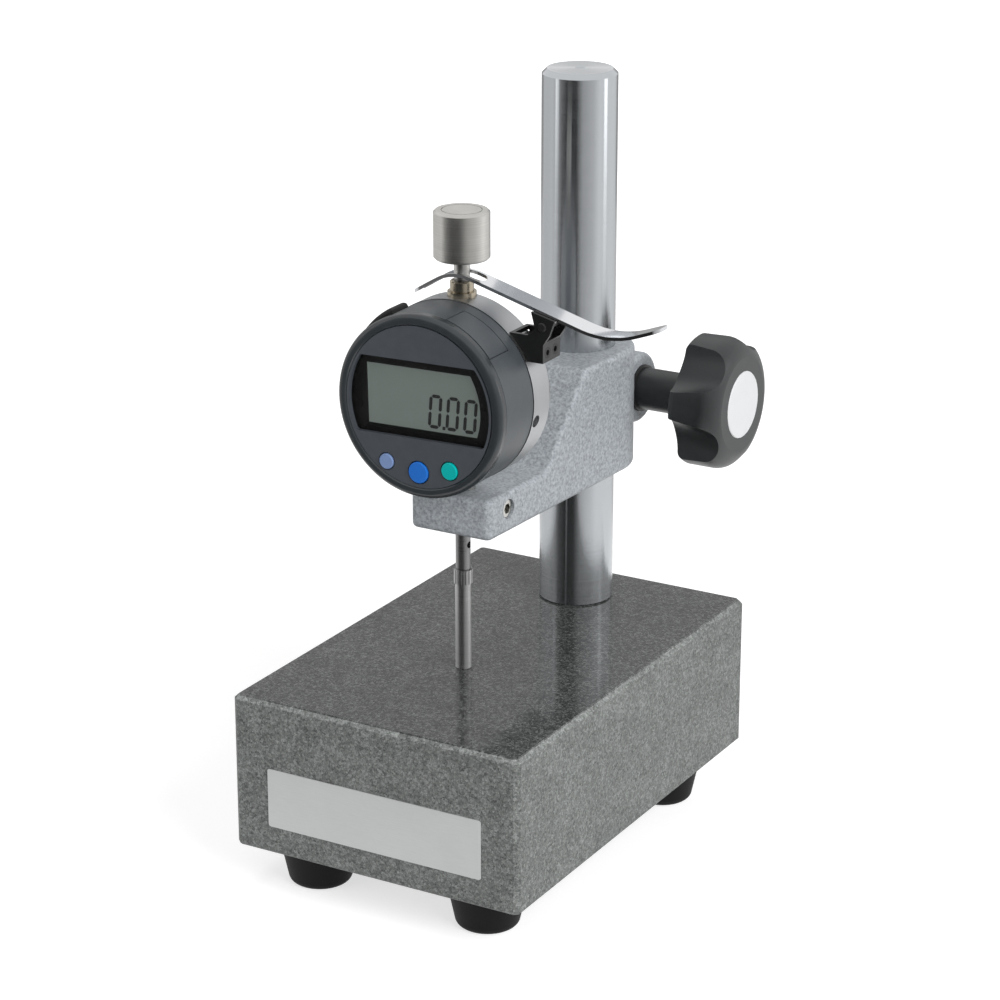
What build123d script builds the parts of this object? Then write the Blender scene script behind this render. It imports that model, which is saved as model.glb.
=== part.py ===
from build123d import *
import os
from math import cos, degrees, radians, sin

# Dial thickness gauge: granite base, column, clamped arm, digital indicator with a weight and a lifting lever.
# Millimetres. +Z is up, -Y is the reader's side, +X is the reader's right.
# The origin is where the spindle axis meets the top face of the base.

# Base
base_width = 100.0
base_length = 150.0
base_height = 50.0
base_ahead = 53.8          # base in front of the spindle axis
base_edge_chamfer = 1.4
base_corner_chamfer = 1.6

# Rubber feet
foot_height = 14.0
foot_radius = 12.5
foot_taper = 12.0          # degrees
foot_rounding = 2.6
front_feet_gap = 60.0      # between the centres of the front pair
rear_feet_gap = 68.0
front_feet_inset = 16.8    # from the base's front face to the pair
rear_feet_inset = 26.0
foot_screw_radius = 2.0
foot_screw_head_radius = 3.8
foot_screw_head_height = 2.4
foot_screw_length = 18.0
foot_floor = 5.0           # rubber between the screw head and the base

# Column
column_setback = 72.5      # from the spindle axis to the column axis
column_radius = 12.0
column_height = 174.8
column_top_chamfer = 1.6
column_foot_chamfer = 0.5
column_dimple_radius = 1.6
bolt_radius = 5.0
bolt_grip = 22.0           # thread inside the column
bolt_head_flats = 17.0
bolt_head_height = 6.4
bolt_seat = 36.0           # stone left between the column and the washer
washer_radius = 10.5
washer_height = 2.0
counterbore_radius = 13.0
stone_hole_clearance = 0.75

# Arm casting
arm_lift = 46.0            # underside above the base at rest
arm_width = 28.0
arm_ahead = 8.0            # front face ahead of the spindle axis
front_block_height = 13.0
front_block_length = 32.5
arm_slope_run = 22.7       # how far the sloped front of the rear block reaches
arm_straight_length = 39.3 # from the front face to where the sides begin to widen
boss_radius = 18.2
boss_height = 40.0
arm_corner_radius = 2.2
arm_edge_radius = 1.6
slope_root_radius = 3.0
slope_head_radius = 3.0
clamp_fit = 0.05
ear_radius = 11.5
ear_setback = 17.5         # from the column axis to the clamp screw's axis
ear_lift = 22.2            # clamp screw above the arm's underside
clamp_slit = 2.0

# Clamp knob
clamp_screw_radius = 4.0
clamp_screw_clearance = 0.2
clamp_screw_grip = 12.0    # thread in the far ear
clamp_screw_in_knob = 20.0
thrust_washer_radius = 7.6
thrust_washer_height = 1.2
washer_seat_gap = 0.6
knob_hub_radius = 6.8
knob_hub_length = 14.0
knob_radius = 21.5
knob_flare_length = 4.4
knob_flare_radius = 11.0   # half way along the flare
knob_rim_length = 10.1
knob_front_depth = 6.7
knob_face_radius = 15.5
knob_cap_radius = 10.9
knob_cap_height = 1.6
knob_cap_depth = 1.3
knob_lobes = 5
knob_valley_radius = 16.0  # half way along the rim
knob_scallop_radius = 11.0
knob_scallop_tilt = 11.0
knob_lobe_angle = 28.0     # the first lobe above level, towards the back
knob_edge_radius = 2.4

# Stem and its screw in the arm
stem_radius = 4.0
stem_wall = 1.1
stem_reach = 3.4           # inside the case's rim
stem_recess = 1.0          # stem end above the arm's underside
stem_fit = 0.05
stem_screw_radius = 3.0
stem_screw_lift = 7.6      # above the arm's underside
stem_screw_setback = 2.8   # behind the spindle axis
stem_screw_recess = 0.1
stem_screw_chamfer = 0.3
stem_screw_socket = 3.0    # across flats
stem_screw_socket_depth = 2.6
stem_pad_length = 1.2

# Indicator case
case_radius = 28.2
case_back = 4.6            # behind the spindle axis
case_front = 6.2           # in front of the spindle axis
case_wall = 1.6
case_rim = 5.2
case_back_radius = 1.6
stem_show = 4.2            # stem between the arm and the case
back_plate_thickness = 1.2
back_plate_margin = 3.7
plate_screw_circle = 19.6
plate_screw_radius = 1.0
plate_screw_head_radius = 1.9
plate_screw_head_height = 0.7
plate_screw_length = 4.5
plate_boss_radius = 2.6
case_hole_radius = 1.9
case_hole_depth = 1.6
case_hole_angle = -12.0
case_hole_ahead = 4.0
swivel_radius = 14.0
swivel_bore = 11.0
swivel_fit = 0.06
swivel_end = 1.4           # spigot beyond its retaining ring's groove
ring_thickness = 1.0
ring_depth = 0.8
ring_reach = 2.0
face_gap = 0.1

# Display housing
display_tilt = 1.4         # degrees, its right side turned up
housing_step = 0.2         # the housing's radius below the case's
housing_depth = 15.5
housing_wall = 1.8
housing_rear_wall = 1.6
housing_gap = 0.2          # between the housing and the case
board_ledge = 2.0
board_seat = 5.0           # from the housing's front edge back to its ledge
board_thickness = 1.2
bezel_depth = 4.0
bezel_gap = 0.45
bezel_front_radius = 1.9
bezel_width = 3.4
bezel_lip = 0.4
bezel_spigot_length = 2.0
bezel_inner_chamfer = 0.5
face_recess = 0.25
face_thickness = 1.4
face_fit = 0.05
window_above = 14.0        # from the dial's centre to the opening's upper edge
window_below = 9.8
window_side_margin = 0.8   # from the opening's round sides to the bezel
window_corner_radius = 1.2
window_lap = 0.7           # the glass beyond the opening
window_glass = 0.7
panel_left = 18.6          # from the dial's centre to the display's left edge
panel_above = 11.2
panel_below = 7.4
panel_round_radius = 21.5  # of its right side
panel_round_left = 1.6     # that arc's centre left of the dial's
panel_thickness = 1.6
panel_recess = 0.1         # behind the glass
carrier_wall = 1.2
battery_radius = 10.0
battery_thickness = 3.2
battery_right = 8.0
battery_up = 8.0
battery_cover_start = 36.1
battery_cover_end = 73.6
battery_cover_ahead = 4.6  # from the housing's rear edge
socket_cover_start = 116.6
socket_cover_end = 145.6
socket_cover_length = 9.2
socket_cover_ahead = 1.9
socket_cover_proud = 2.0
cover_depth = 0.9
cover_gap = 0.3

# Buttons: the angle round the dial, the way in from the bezel's opening and the radius of each
button_sizes = {
    "mode_button": (-122.4, 3.35, 2.4),
    "set_button": (-91.4, 4.7, 3.3),
    "data_button": (-60.7, 3.94, 2.7),
}
button_gap = 0.35
button_proud = 0.5
button_travel = 0.6
button_flange = 0.6
button_flange_thickness = 0.6
button_stop_gap = 0.1
button_dome = 0.35
key_mat_gap = 0.3
key_mat_top = 12.8         # below the dial's centre

# Spindle, contact foot and weight
spindle_radius = 2.3
spindle_fit = 0.05
spindle_travel = 12.0
bush_length = 7.0
upper_bush_radius = 3.6
upper_bush_height = 3.2
upper_bush_shank_radius = 3.0
upper_bush_flange_radius = 4.4
upper_bush_flange_height = 1.9
bush_spotface = 0.6
contact_radius = 2.5
contact_length = 32.6
collar_radius = 2.95
collar_length = 4.5
collar_knurls = 16
contact_chamfer = 0.25
contact_thread_radius = 1.25
contact_thread_length = 6.0
cross_hole_radius = 1.1
cross_hole_height = 8.1    # above the contact foot's collar
neck_radius = 2.4
neck_length = 6.0
neck_gap = 0.7
weight_radius = 8.5
weight_height = 14.8
weight_chamfer = 0.6
weight_groove_radius = 6.2
weight_groove_depth = 0.3
weight_stud_radius = 1.5
weight_stud_half = 4.5
scale_half_width = 2.0
scale_thickness = 0.8
scale_margin = 0.5         # beyond the reading head at either end of the travel
scale_start = 10.2         # above the cavity's floor
spindle_flat = 1.9         # from the axis to the flat that carries the scale
head_half_width = 5.5
head_length = 9.0
head_gap = 0.4
guide_pin_radius = 0.8
guide_pin_reach = 6.4
guide_pin_lift = 6.0
guide_bar_inner = 3.4
guide_bar_outer = 7.4
guide_bar_fit = 0.06
guide_bar_end = 1.6
guide_bar_rear = 3.0

# Lifting lever and its bracket
pivot_outward = 1.9        # beyond the case's radius
pivot_drop = 4.5           # below the case's top
pivot_pin_radius = 1.4
pivot_fit = 0.05
pivot_pin_proud = 0.4
lever_width = 7.6
lever_thickness = 1.0
lever_lift = 3.4           # the corner of its bend above the upper bush, along the strip's middle
lever_bend_left = 1.3      # that corner left of the spindle axis
lever_bend_radius = 14.5
lever_tip_left = 15.5
lever_tip_drop = 8.6       # below the corner
lever_valley_right = 51.2
lever_valley_drop = 14.6
lever_valley_radius = 30.0
lever_tab_right = 67.6
lever_tab_drop = 8.5
fork_slot = 5.4
fork_slot_end = 8.5        # right of the spindle axis
lever_ear_radius = 2.4
lever_end_radius = 3.0
cheek_gap = 0.25
cheek_thickness = 1.15
cheek_left = 3.7           # its upper corners left and right of the pivot
cheek_right = 4.1
cheek_above = 4.2
cheek_fall = 1.9
cheek_waist = 2.4          # from the pivot to its narrowest place
bracket_top_drop = 7.5     # below the case's top
bracket_notch = 2.4        # from the block's top up to the cheeks' waist
bracket_height = 8.1
bracket_outward = 2.3      # its right face beyond the case's radius
bracket_fit = 0.05
bracket_floor = 4.6        # below the pivot, between the cheeks
bracket_screw_drop = 5.3   # below the block's top
bracket_screw_spread = 4.6
bracket_screw_radius = 1.0
bracket_screw_head_radius = 1.7
bracket_screw_head_height = 1.3
bracket_screw_length = 11.5

screw_fit = 0.05
screw_tip_gap = 0.5
socket_ratio = 0.5         # a socket's width over its screw head's

# Heights and places worked out from the sizes above
base_centre_y = base_length / 2 - base_ahead
base_rear = base_length - base_ahead
arm_top = arm_lift + front_block_height
dial_z = arm_top + stem_show + case_radius
case_top = dial_z + case_radius
cavity_radius = case_radius - case_rim
housing_radius = case_radius - housing_step
bezel_opening_radius = case_radius - bezel_width
window_side_radius = bezel_opening_radius - window_side_margin
cavity_front = -case_front + case_wall
cavity_back = case_back - back_plate_thickness
housing_back = -case_front - housing_gap
housing_front = housing_back - housing_depth
bezel_front = housing_front - bezel_depth
bezel_back = housing_front - bezel_gap
face_front = bezel_front + face_recess
face_back = face_front + face_thickness
glass_back = face_back + window_glass
lip_radius = bezel_opening_radius - bezel_lip
button_places = {}
for button_name, (angle, inset, radius) in button_sizes.items():
    reach = bezel_opening_radius - inset
    button_places[button_name] = (reach * cos(radians(angle)), reach * sin(radians(angle)), radius)
board_front = housing_front + board_seat - board_thickness
board_back = board_front + board_thickness
scale_length = spindle_travel + head_length + 2 * scale_margin
bush_top = case_top + upper_bush_height + upper_bush_flange_height - bush_spotface
neck_bottom = bush_top + neck_gap
weight_bottom = neck_bottom + neck_length
knob_y = column_setback + ear_setback
knob_z = arm_lift + ear_lift
knob_start = arm_width / 2 + thrust_washer_height
pivot_right = case_radius + pivot_outward
pivot_up = case_radius - pivot_drop
pivot_z = dial_z + pivot_up
bracket_top = case_radius - bracket_top_drop
bracket_foot = bracket_top - bracket_height
bracket_right = case_radius + bracket_outward
bracket_screw_up = bracket_top - bracket_screw_drop
bracket_screw_reach = bracket_right - bracket_screw_length
pin_half_length = lever_width / 2 + cheek_gap + cheek_thickness + pivot_pin_proud
bracket_half_width = lever_width / 2 + cheek_gap + cheek_thickness

os.makedirs("parts", exist_ok=True)


def finish(part, name):
    part.label = name
    export_step(part, f"parts/{name}.step")


def facing(y, x=0.0, z=0.0):
    # a plane that looks at the reader, with its own x to the right and its own y up
    return Plane(origin=(x, y, z), x_dir=(1, 0, 0), z_dir=(0, -1, 0))


def dial_facing(y, across=0.0, up=0.0):
    # a plane that looks at the reader and is turned with the display about the dial's axis
    right = Vector(1, 0, 0).rotate(Axis.Y, -display_tilt)
    over = Vector(0, 0, 1).rotate(Axis.Y, -display_tilt)
    return Plane(origin=Vector(0, y, dial_z) + right * across + over * up, x_dir=right, z_dir=(0, -1, 0))


def sideways(x, y=0.0, z=0.0):
    # a plane that looks along +X, with its own x towards the column and its own y up
    return Plane(origin=(x, y, z), x_dir=(0, 1, 0), z_dir=(1, 0, 0))


knob_axis = Axis((0, knob_y, knob_z), (1, 0, 0))


# Granite base
front_feet_y = front_feet_inset - base_ahead
rear_feet_y = base_rear - rear_feet_inset
foot_places = {
    "foot_front_left": (-front_feet_gap / 2, front_feet_y),
    "foot_front_right": (front_feet_gap / 2, front_feet_y),
    "foot_rear_left": (-rear_feet_gap / 2, rear_feet_y),
    "foot_rear_right": (rear_feet_gap / 2, rear_feet_y),
}
with BuildPart() as granite_base:
    with BuildSketch(Plane.XY.offset(-base_height)) as base_outline:
        with Locations((0, base_centre_y)):
            Rectangle(base_width, base_length)
    extrude(amount=base_height)
    chamfer(edges().filter_by(Axis.Z), base_corner_chamfer)
    chamfer(faces().sort_by(Axis.Z)[-1].edges(), base_edge_chamfer)
    chamfer(faces().sort_by(Axis.Z)[0].edges(), base_edge_chamfer / 2)
    with BuildSketch() as bolt_hole:
        with Locations((0, column_setback)):
            Circle(bolt_radius + stone_hole_clearance)
    extrude(amount=-base_height, mode=Mode.SUBTRACT)
    with BuildSketch(Plane.XY.offset(-base_height)) as bolt_recess:
        with Locations((0, column_setback)):
            Circle(counterbore_radius)
    extrude(amount=base_height - bolt_seat, mode=Mode.SUBTRACT)
    with BuildSketch(Plane.XY.offset(-base_height)) as foot_holes:
        with Locations(*foot_places.values()):
            Circle(foot_screw_radius + screw_fit)
    extrude(amount=foot_screw_length - foot_floor + 1, mode=Mode.SUBTRACT)
finish(granite_base.part, "granite_base")

# Rubber feet, tapered and rounded, each with a recess for its screw
for foot_name, foot_place in foot_places.items():
    with BuildPart() as rubber_foot:
        with BuildSketch(Plane.XY.offset(-base_height)) as foot_round:
            with Locations(foot_place):
                Circle(foot_radius)
        extrude(amount=-foot_height, taper=foot_taper)
        fillet(faces().sort_by(Axis.Z)[0].edges(), foot_rounding)
        with BuildSketch(Plane.XY.offset(-base_height - foot_floor)) as head_recess:
            with Locations(foot_place):
                Circle(foot_screw_head_radius + screw_fit)
        extrude(amount=-foot_height, mode=Mode.SUBTRACT)
        with BuildSketch(Plane.XY.offset(-base_height)) as foot_screw_hole:
            with Locations(foot_place):
                Circle(foot_screw_radius + screw_fit)
        extrude(amount=-foot_height, mode=Mode.SUBTRACT)
    finish(rubber_foot.part, foot_name)

with BuildPart() as foot_screws:
    with BuildSketch(Plane.XY.offset(-base_height - foot_floor)) as foot_screw_shank:
        with Locations(*foot_places.values()):
            Circle(foot_screw_radius)
    extrude(amount=foot_screw_length)
    with BuildSketch(Plane.XY.offset(-base_height - foot_floor)) as foot_screw_head:
        with Locations(*foot_places.values()):
            Circle(foot_screw_head_radius)
    extrude(amount=-foot_screw_head_height)
    with BuildSketch(Plane.XY.offset(-base_height - foot_floor - foot_screw_head_height)) as foot_screw_slot:
        with Locations(*foot_places.values()):
            Rectangle(foot_screw_head_radius * 2, foot_screw_head_radius * 0.3)
    extrude(amount=foot_screw_head_height / 2, mode=Mode.SUBTRACT)
finish(foot_screws.part, "foot_screws")

# Column and the bolt that holds it from below
with BuildPart() as column:
    with BuildSketch() as column_round:
        with Locations((0, column_setback)):
            Circle(column_radius)
    extrude(amount=column_height)
    chamfer(edges().group_by(Axis.Z)[-1], column_top_chamfer)
    chamfer(edges().group_by(Axis.Z)[0], column_foot_chamfer)
    with BuildSketch() as column_thread:
        with Locations((0, column_setback)):
            Circle(bolt_radius + screw_fit)
    extrude(amount=bolt_grip + bolt_radius, mode=Mode.SUBTRACT)
    with Locations((0, column_setback, column_height)):
        CounterSinkHole(column_dimple_radius / 2, column_dimple_radius, depth=column_dimple_radius * 2)
finish(column.part, "column")

with BuildPart() as column_washer:
    with BuildSketch(Plane.XY.offset(-bolt_seat)) as washer_round:
        with Locations((0, column_setback)):
            Circle(washer_radius)
            Circle(bolt_radius + screw_fit, mode=Mode.SUBTRACT)
    extrude(amount=-washer_height)
finish(column_washer.part, "column_washer")

with BuildPart() as column_bolt:
    with BuildSketch(Plane.XY.offset(-bolt_seat - washer_height)) as bolt_shank:
        with Locations((0, column_setback)):
            Circle(bolt_radius)
    extrude(amount=bolt_seat + washer_height + bolt_grip)
    with BuildSketch(Plane.XY.offset(-bolt_seat - washer_height)) as bolt_head:
        with Locations((0, column_setback)):
            RegularPolygon(bolt_head_flats / 2, 6, major_radius=False)
    extrude(amount=-bolt_head_height)
finish(column_bolt.part, "column_bolt")

# Arm casting: a low front block for the stem, a sloped rear block and a split clamp round the column
slope_foot_y = front_block_length - arm_ahead
slope_head_y = slope_foot_y + arm_slope_run
with BuildPart() as arm_casting:
    with BuildSketch(sideways(-boss_radius)) as arm_side:
        with BuildLine() as arm_side_line:
            upper_line = FilletPolyline(
                (-arm_ahead, arm_top),
                (slope_foot_y, arm_top),
                (slope_head_y, arm_lift + boss_height),
                (column_setback + boss_radius, arm_lift + boss_height),
                radius=(slope_root_radius, slope_head_radius),
            )
            Polyline(
                upper_line @ 1,
                (column_setback + boss_radius, arm_lift),
                (-arm_ahead, arm_lift),
                upper_line @ 0,
            )
        make_face()
    extrude(amount=2 * boss_radius)
    with BuildSketch(Plane.XY.offset(arm_lift)) as arm_plan:
        with Locations((0, arm_straight_length / 2 - arm_ahead)):
            RectangleRounded(arm_width, arm_straight_length, arm_corner_radius)
        with Locations((0, column_setback)):
            Circle(boss_radius)
        make_hull()
    extrude(amount=boss_height, mode=Mode.INTERSECT)
    outline_edges = edges().filter_by(Axis.Z, reverse=True).filter_by(Axis.X, reverse=True)
    front_edges = edges().filter_by(Axis.X).group_by(Axis.Y)[0]
    fillet(outline_edges + front_edges, arm_edge_radius)
    with BuildSketch(facing(knob_y, 0, knob_z)) as ear_section:
        Rectangle(arm_width, ear_radius, align=(Align.CENTER, Align.MIN))
        fillet(vertices().group_by(Axis.Y)[-1], arm_edge_radius)
    revolve(axis=knob_axis)
    with BuildSketch(Plane.XY.offset(arm_lift)) as column_bore:
        with Locations((0, column_setback)):
            Circle(column_radius + clamp_fit)
    extrude(amount=boss_height, mode=Mode.SUBTRACT)
    with BuildSketch(Plane.XY.offset(arm_lift)) as slit:
        with Locations((0, column_setback)):
            Rectangle(clamp_slit, ear_setback + ear_radius + 1, align=(Align.CENTER, Align.MIN))
    extrude(amount=boss_height, mode=Mode.SUBTRACT)
    with BuildSketch(sideways(0, knob_y, knob_z)) as near_ear_hole:
        Circle(clamp_screw_radius + clamp_screw_clearance)
    extrude(amount=arm_width, mode=Mode.SUBTRACT)
    with BuildSketch(sideways(0, knob_y, knob_z)) as far_ear_hole:
        Circle(clamp_screw_radius + screw_fit)
    extrude(amount=-arm_width, mode=Mode.SUBTRACT)
    with BuildSketch(sideways(arm_width / 2, knob_y, knob_z)) as washer_seat:
        Circle(thrust_washer_radius + washer_seat_gap)
    extrude(amount=boss_radius, mode=Mode.SUBTRACT)
    with BuildSketch(Plane.XY.offset(arm_lift)) as stem_bore:
        Circle(stem_radius + stem_fit)
    extrude(amount=front_block_height, mode=Mode.SUBTRACT)
    with BuildSketch(sideways(0, stem_screw_setback, arm_lift + stem_screw_lift)) as stem_screw_hole:
        Circle(stem_screw_radius + screw_fit)
    extrude(amount=arm_width, mode=Mode.SUBTRACT)
finish(arm_casting.part, "arm_casting")

# Stem screw and the pad it presses on the stem
stem_screw_axis_z = arm_lift + stem_screw_lift
stem_pad_end = stem_radius + stem_pad_length
with BuildPart() as stem_pad:
    with BuildSketch(sideways(stem_radius / 2, stem_screw_setback, stem_screw_axis_z)) as pad_round:
        Circle(stem_screw_radius - screw_fit)
    extrude(amount=stem_pad_end - stem_radius / 2)
    with BuildSketch(Plane.XY.offset(arm_lift)) as pad_hollow:
        Circle(stem_radius + 2 * stem_fit)
    extrude(amount=front_block_height, mode=Mode.SUBTRACT)
finish(stem_pad.part, "stem_pad")

with BuildPart() as stem_screw:
    with BuildSketch(sideways(stem_pad_end, stem_screw_setback, stem_screw_axis_z)) as stem_screw_round:
        Circle(stem_screw_radius)
    extrude(amount=arm_width / 2 - stem_screw_recess - stem_pad_end)
    chamfer(edges().group_by(Axis.X)[-1], stem_screw_chamfer)
    screw_face = sideways(arm_width / 2 - stem_screw_recess, stem_screw_setback, stem_screw_axis_z)
    with BuildSketch(screw_face) as stem_screw_hex:
        RegularPolygon(stem_screw_socket / 2, 6, major_radius=False)
    extrude(amount=-stem_screw_socket_depth, mode=Mode.SUBTRACT)
finish(stem_screw.part, "stem_screw")

# Clamp screw, thrust washer and the lobed knob
with BuildPart() as thrust_washer:
    with BuildSketch(sideways(arm_width / 2, knob_y, knob_z)) as thrust_round:
        Circle(thrust_washer_radius)
        Circle(clamp_screw_radius + clamp_screw_clearance, mode=Mode.SUBTRACT)
    extrude(amount=thrust_washer_height)
finish(thrust_washer.part, "thrust_washer")

with BuildPart() as clamp_screw:
    with BuildSketch(sideways(-clamp_screw_grip, knob_y, knob_z)) as clamp_screw_round:
        Circle(clamp_screw_radius)
    extrude(amount=clamp_screw_grip + knob_start + clamp_screw_in_knob)
    chamfer(edges().group_by(Axis.X)[0], clamp_screw_radius / 5)
finish(clamp_screw.part, "clamp_screw")

hub_end = knob_start + knob_hub_length
rim_start = hub_end + knob_flare_length
rim_end = rim_start + knob_rim_length
face_x = rim_end + knob_front_depth
with BuildPart() as knob_grip:
    with BuildSketch(facing(knob_y, 0, knob_z)) as grip_section:
        with BuildLine() as grip_line:
            start = Line((knob_start, 0), (knob_start, knob_hub_radius))
            hub = Line(start @ 1, (hub_end, knob_hub_radius))
            flare = ThreePointArc(
                hub @ 1,
                (hub_end + knob_flare_length / 2, knob_flare_radius),
                (rim_start, knob_radius - knob_edge_radius),
            )
            corner = TangentArc(flare @ 1, (rim_start + knob_edge_radius, knob_radius), tangent=flare % 1)
            rim = Line(corner @ 1, (rim_end, knob_radius))
            shoulder = TangentArc(rim @ 1, (face_x, knob_face_radius), tangent=(1, 0))
            front = Line(shoulder @ 1, (face_x, 0))
            Line(front @ 1, start @ 0)
        make_face()
    revolve(axis=knob_axis)
    scallop_plane = sideways((rim_start + rim_end) / 2, knob_y, knob_z)
    scallop_reach = knob_valley_radius + knob_scallop_radius
    with Locations(scallop_plane):
        with PolarLocations(scallop_reach, knob_lobes, start_angle=knob_lobe_angle + 180 / knob_lobes):
            Cylinder(knob_scallop_radius, 4 * knob_radius, rotation=(0, knob_scallop_tilt, 0), mode=Mode.SUBTRACT)
    with BuildSketch(sideways(face_x, knob_y, knob_z)) as cap_recess:
        Circle(knob_cap_radius + screw_fit)
    extrude(amount=-knob_cap_depth, mode=Mode.SUBTRACT)
    with BuildSketch(sideways(knob_start, knob_y, knob_z)) as knob_bore:
        Circle(clamp_screw_radius + screw_fit)
    extrude(amount=clamp_screw_in_knob, mode=Mode.SUBTRACT)
finish(knob_grip.part, "knob_grip")

with BuildPart() as knob_cap:
    with BuildSketch(sideways(face_x - knob_cap_depth, knob_y, knob_z)) as cap_round:
        Circle(knob_cap_radius)
    extrude(amount=knob_cap_height)
    fillet(edges().group_by(Axis.X)[-1], knob_cap_height / 3)
finish(knob_cap.part, "knob_cap")

# Stem: a thin tube with a bush at each end for the spindle
stem_bottom = arm_lift + stem_recess
stem_top = dial_z - case_radius + stem_reach
with BuildPart() as stem:
    with BuildSketch(Plane.XY.offset(stem_bottom)) as stem_round:
        Circle(stem_radius)
        Circle(stem_radius - stem_wall, mode=Mode.SUBTRACT)
    extrude(amount=stem_top - stem_bottom)
    chamfer(edges().group_by(Axis.Z)[0], stem_wall / 4)
finish(stem.part, "stem")

bush_starts = {"lower_stem_bush": stem_bottom + stem_wall / 2, "upper_stem_bush": stem_top - bush_length}
for bush_name, bush_start in bush_starts.items():
    with BuildPart() as stem_bush:
        with BuildSketch(Plane.XY.offset(bush_start)) as bush_round:
            Circle(stem_radius - stem_wall - screw_fit)
            Circle(spindle_radius + spindle_fit, mode=Mode.SUBTRACT)
        extrude(amount=bush_length)
    finish(stem_bush.part, bush_name)

# Upper bush, flanged, on a flat of the case
flange_bottom = case_top - bush_spotface
with BuildPart() as upper_bush:
    with BuildSketch(Plane.XY.offset(dial_z + cavity_radius - 1)) as upper_shank:
        Circle(upper_bush_shank_radius)
    extrude(amount=flange_bottom - dial_z - cavity_radius + 1)
    with BuildSketch(Plane.XY.offset(flange_bottom)) as upper_flange:
        Circle(upper_bush_flange_radius)
    extrude(amount=upper_bush_flange_height)
    with BuildSketch(Plane.XY.offset(flange_bottom + upper_bush_flange_height)) as upper_collar:
        Circle(upper_bush_radius)
    extrude(amount=upper_bush_height)
    chamfer(edges().group_by(Axis.Z)[-1], upper_bush_radius / 12)
    with BuildSketch(Plane.XY.offset(dial_z)) as upper_bore:
        Circle(spindle_radius + spindle_fit)
    extrude(amount=bush_top - dial_z, mode=Mode.SUBTRACT)
finish(upper_bush.part, "upper_bush")

# Rear case: a metal cup that is open at the back, with a spigot for the turning display at the front
with BuildPart() as rear_case:
    with BuildSketch(facing(-case_front, 0, dial_z)) as case_round:
        Circle(case_radius)
    extrude(amount=-(case_front + case_back))
    fillet(edges().group_by(Axis.Y)[-1], case_back_radius)
    with BuildSketch(facing(case_back, 0, dial_z)) as cavity:
        Circle(cavity_radius)
    extrude(amount=case_back - cavity_front, mode=Mode.SUBTRACT)
    with BuildSketch(facing(case_back, 0, dial_z)) as plate_seat:
        Circle(case_radius - back_plate_margin)
    extrude(amount=back_plate_thickness, mode=Mode.SUBTRACT)
    with BuildSketch(facing(cavity_back, 0, dial_z)) as plate_bosses:
        with PolarLocations(plate_screw_circle, 4, start_angle=45):
            Circle(plate_boss_radius)
    extrude(amount=cavity_back - cavity_front)
    with BuildSketch(facing(cavity_back, 0, dial_z)) as plate_holes:
        with PolarLocations(plate_screw_circle, 4, start_angle=45):
            Circle(plate_screw_radius + screw_fit)
    extrude(amount=plate_screw_length, mode=Mode.SUBTRACT)
    with BuildSketch(facing(-case_front, 0, dial_z)) as spigot:
        Circle(swivel_radius)
    spigot_length = housing_gap + housing_rear_wall + face_gap + ring_thickness + face_gap + swivel_end
    extrude(amount=spigot_length)
    with BuildSketch(facing(housing_back - housing_rear_wall, 0, dial_z)) as ring_groove:
        Circle(swivel_radius)
        Circle(swivel_radius - ring_depth, mode=Mode.SUBTRACT)
    extrude(amount=ring_thickness + 2 * face_gap, mode=Mode.SUBTRACT)
    with BuildSketch(facing(cavity_front, 0, dial_z)) as spigot_bore:
        Circle(swivel_bore)
    extrude(amount=spigot_length + case_wall, mode=Mode.SUBTRACT)
    with BuildSketch(Plane.XY.offset(dial_z)) as stem_seat:
        Circle(stem_radius + stem_fit)
    extrude(amount=-case_radius, mode=Mode.SUBTRACT)
    with BuildSketch(Plane.XY.offset(dial_z)) as bush_seat:
        Circle(upper_bush_shank_radius + screw_fit)
    extrude(amount=case_radius, mode=Mode.SUBTRACT)
    with BuildSketch(Plane.XY.offset(flange_bottom)) as spotface:
        Circle(upper_bush_flange_radius + screw_fit)
    extrude(amount=case_radius, mode=Mode.SUBTRACT)
    with BuildSketch(sideways(bracket_screw_reach - screw_tip_gap, 0, dial_z + bracket_screw_up)) as bracket_holes:
        with Locations((-bracket_screw_spread / 2, 0), (bracket_screw_spread / 2, 0)):
            Circle(bracket_screw_radius + screw_fit)
    extrude(amount=case_radius, mode=Mode.SUBTRACT)
    lock_direction = Vector(1, 0, 0).rotate(Axis.Y, -case_hole_angle)
    lock_origin = Vector(0, -case_hole_ahead, dial_z) + lock_direction * (case_radius - case_hole_depth)
    with BuildSketch(Plane(origin=lock_origin, z_dir=lock_direction)) as lock_hole:
        Circle(case_hole_radius)
    extrude(amount=case_hole_depth * 2, mode=Mode.SUBTRACT)
finish(rear_case.part, "rear_case")

with BuildPart() as back_plate:
    with BuildSketch(facing(case_back, 0, dial_z)) as plate_round:
        Circle(case_radius - back_plate_margin - face_fit)
    extrude(amount=back_plate_thickness)
    with BuildSketch(facing(case_back, 0, dial_z)) as plate_head_holes:
        with PolarLocations(plate_screw_circle, 4, start_angle=45):
            Circle(plate_screw_head_radius + screw_fit)
    extrude(amount=plate_screw_head_height, mode=Mode.SUBTRACT)
    with BuildSketch(facing(case_back, 0, dial_z)) as plate_shank_holes:
        with PolarLocations(plate_screw_circle, 4, start_angle=45):
            Circle(plate_screw_radius + screw_fit)
    extrude(amount=back_plate_thickness, mode=Mode.SUBTRACT)
finish(back_plate.part, "back_plate")

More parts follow.
